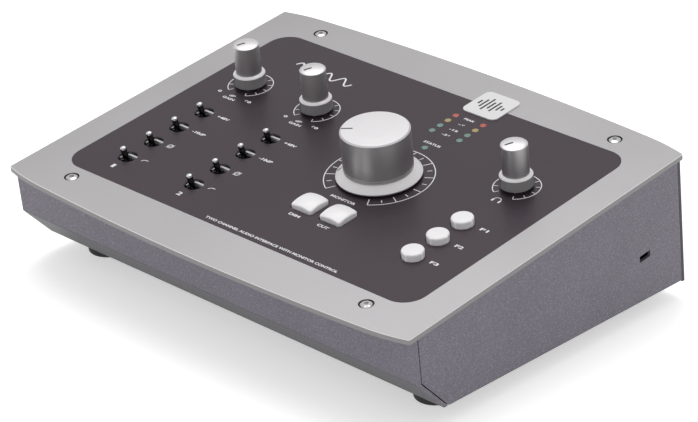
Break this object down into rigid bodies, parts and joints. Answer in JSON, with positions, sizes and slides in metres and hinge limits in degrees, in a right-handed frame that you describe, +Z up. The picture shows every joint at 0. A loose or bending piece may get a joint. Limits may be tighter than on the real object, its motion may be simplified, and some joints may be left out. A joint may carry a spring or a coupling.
{
  "type": "audio interface",
  "caption": "Desktop audio interface with a sloping silver deck, black control field, turned knobs, toggles, white keys and rear sockets.",
  "frame": {"origin": "middle of the bounding box footprint, on the surface under the feet", "axes": "+X to the right as the user faces it, +Y to the rear sockets, +Z up; the deck rises 7.5 degrees to the rear"},
  "size_m": [0.231, 0.1818, 0.0821],
  "materials": {
    "deck_silver": "satin blasted silver",
    "overlay_black": "matte warm black film",
    "badge_white": "satin white",
    "screw_steel": "bright plated steel",
    "case_paint": "fine speckled dark grey powder coat",
    "rear_paint": "fine black powder coat",
    "black_screw": "blackened steel",
    "foot_rubber": "matte",
    "knob_silver": "satin turned, bright chamfers",
    "shaft_steel": "turned",
    "pot_body": "stamped",
    "lever_chrome": "polished",
    "frame_metal": "plated",
    "switch_black": "moulded",
    "button_white": "soft satin white",
    "lamp_red": "clear-topped",
    "lamp_yellow": "clear-topped",
    "lamp_green": "clear-topped",
    "board_green": "solder mask",
    "spacer_brass": "turned",
    "ribbon_grey": "ribbed",
    "socket_black": "moulded",
    "nut_plated": "plated",
    "usb_shell": "plated sheet"
  },
  "bodies": {
    "case": {"badge": "badge_white", "board_screws": "pot_body", "button_switches": "switch_black", "chassis": "case_paint", "control_board": "board_green", "control_overlay": "overlay_black", "deck_screws": "screw_steel", "deck_spacers": "spacer_brass", "feet": "foot_rubber", "foot_screws": "black_screw", "gain_pot_1": "pot_body", "gain_pot_2": "pot_body", "green_lamps": "lamp_green", "headphone_jack": "socket_black", "headphone_pot": "pot_body", "insert_jacks": "socket_black", "main_board": "board_green", "main_board_spacers": "spacer_brass", "mic_socket_1": "socket_black", "mic_socket_2": "socket_black", "monitor_encoder": "pot_body", "optical_sockets": "socket_black", "output_jacks": "socket_black", "power_inlet": "socket_black", "power_switch": "switch_black", "rear_panel": "rear_paint", "rear_panel_screws": "black_screw", "red_lamps": "lamp_red", "ribbon_cable": "ribbon_grey", "ribbon_plugs": "ribbon_grey", "rotary_nuts": "shaft_steel", "socket_board": "board_green", "socket_nuts": "nut_plated", "toggle_bodies": "switch_black", "toggle_frames": "frame_metal", "top_deck": "deck_silver", "usb_socket": "usb_shell", "yellow_lamps": "lamp_yellow"},
    "gain_knob_1": {"gain_knob_1": "knob_silver", "gain_shaft_1": "shaft_steel"},
    "gain_knob_2": {"gain_knob_2": "knob_silver", "gain_shaft_2": "shaft_steel"},
    "headphone_knob": {"headphone_knob": "knob_silver", "headphone_shaft": "shaft_steel"},
    "monitor_knob": {"monitor_knob": "knob_silver", "monitor_shaft": "shaft_steel"},
    "high_pass_lever_1": {"high_pass_lever_1": "lever_chrome"},
    "phase_lever_1": {"phase_lever_1": "lever_chrome"},
    "pad_lever_1": {"pad_lever_1": "lever_chrome"},
    "phantom_lever_1": {"phantom_lever_1": "lever_chrome"},
    "high_pass_lever_2": {"high_pass_lever_2": "lever_chrome"},
    "phase_lever_2": {"phase_lever_2": "lever_chrome"},
    "pad_lever_2": {"pad_lever_2": "lever_chrome"},
    "phantom_lever_2": {"phantom_lever_2": "lever_chrome"},
    "dim_button": {"dim_button": "button_white"},
    "cut_button": {"cut_button": "button_white"},
    "function_button_1": {"function_button_1": "button_white"},
    "function_button_2": {"function_button_2": "button_white"},
    "function_button_3": {"function_button_3": "button_white"},
    "power_rocker": {"power_rocker": "switch_black"}
  },
  "joints": [
    {"name": "gain_turn_1", "type": "hinge", "parent": "case", "child": "gain_knob_1", "pos_m": [-0.0789, 0.02522, 0.06105], "axis": [0, -0.1305, 0.9914], "range_deg": [-300, 0]},
    {"name": "gain_turn_2", "type": "hinge", "parent": "case", "child": "gain_knob_2", "pos_m": [-0.0383, 0.02522, 0.06105], "axis": [0, -0.1305, 0.9914], "range_deg": [-300, 0]},
    {"name": "headphone_turn", "type": "hinge", "parent": "case", "child": "headphone_knob", "pos_m": [0.0755, 0.02522, 0.06105], "axis": [0, -0.1305, 0.9914], "range_deg": [-300, 0]},
    {"name": "monitor_turn", "type": "hinge", "parent": "case", "child": "monitor_knob", "pos_m": [0.0224, -0.00045, 0.05767], "axis": [0, -0.1305, 0.9914], "range_deg": [-274, 26]},
    {"name": "high_pass_switch_1", "type": "hinge", "parent": "case", "child": "high_pass_lever_1", "pos_m": [-0.0782, -0.04895, 0.04523], "axis": [0, 0.9914, 0.1305], "range_deg": [0, 29]},
    {"name": "phase_switch_1", "type": "hinge", "parent": "case", "child": "phase_lever_1", "pos_m": [-0.0782, -0.03375, 0.04723], "axis": [0, 0.9914, 0.1305], "range_deg": [0, 29]},
    {"name": "pad_switch_1", "type": "hinge", "parent": "case", "child": "pad_lever_1", "pos_m": [-0.0782, -0.01855, 0.04924], "axis": [0, 0.9914, 0.1305], "range_deg": [0, 29]},
    {"name": "phantom_switch_1", "type": "hinge", "parent": "case", "child": "phantom_lever_1", "pos_m": [-0.0782, -0.00335, 0.05124], "axis": [0, 0.9914, 0.1305], "range_deg": [0, 29]},
    {"name": "high_pass_switch_2", "type": "hinge", "parent": "case", "child": "high_pass_lever_2", "pos_m": [-0.0376, -0.04895, 0.04523], "axis": [0, 0.9914, 0.1305], "range_deg": [0, 29]},
    {"name": "phase_switch_2", "type": "hinge", "parent": "case", "child": "phase_lever_2", "pos_m": [-0.0376, -0.03375, 0.04723], "axis": [0, 0.9914, 0.1305], "range_deg": [0, 29]},
    {"name": "pad_switch_2", "type": "hinge", "parent": "case", "child": "pad_lever_2", "pos_m": [-0.0376, -0.01855, 0.04924], "axis": [0, 0.9914, 0.1305], "range_deg": [0, 29]},
    {"name": "phantom_switch_2", "type": "hinge", "parent": "case", "child": "phantom_lever_2", "pos_m": [-0.0376, -0.00335, 0.05124], "axis": [0, 0.9914, 0.1305], "range_deg": [0, 29]},
    {"name": "dim_press", "type": "slide", "parent": "case", "child": "dim_button", "axis": [0, 0.1305, -0.9914], "range_m": [0, 0.001], "stiffness_N_per_m": 400, "springref_m": -0.0005},
    {"name": "cut_press", "type": "slide", "parent": "case", "child": "cut_button", "axis": [0, 0.1305, -0.9914], "range_m": [0, 0.001], "stiffness_N_per_m": 400, "springref_m": -0.0005},
    {"name": "function_press_1", "type": "slide", "parent": "case", "child": "function_button_1", "axis": [0, 0.1305, -0.9914], "range_m": [0, 0.001], "stiffness_N_per_m": 400, "springref_m": -0.0005},
    {"name": "function_press_2", "type": "slide", "parent": "case", "child": "function_button_2", "axis": [0, 0.1305, -0.9914], "range_m": [0, 0.001], "stiffness_N_per_m": 400, "springref_m": -0.0005},
    {"name": "function_press_3", "type": "slide", "parent": "case", "child": "function_button_3", "axis": [0, 0.1305, -0.9914], "range_m": [0, 0.001], "stiffness_N_per_m": 400, "springref_m": -0.0005},
    {"name": "power_switch_rock", "type": "hinge", "parent": "case", "child": "power_rocker", "pos_m": [0.099, 0.08497, 0.04471], "axis": [1, 0, 0], "range_deg": [-16, 0]}
  ]
}
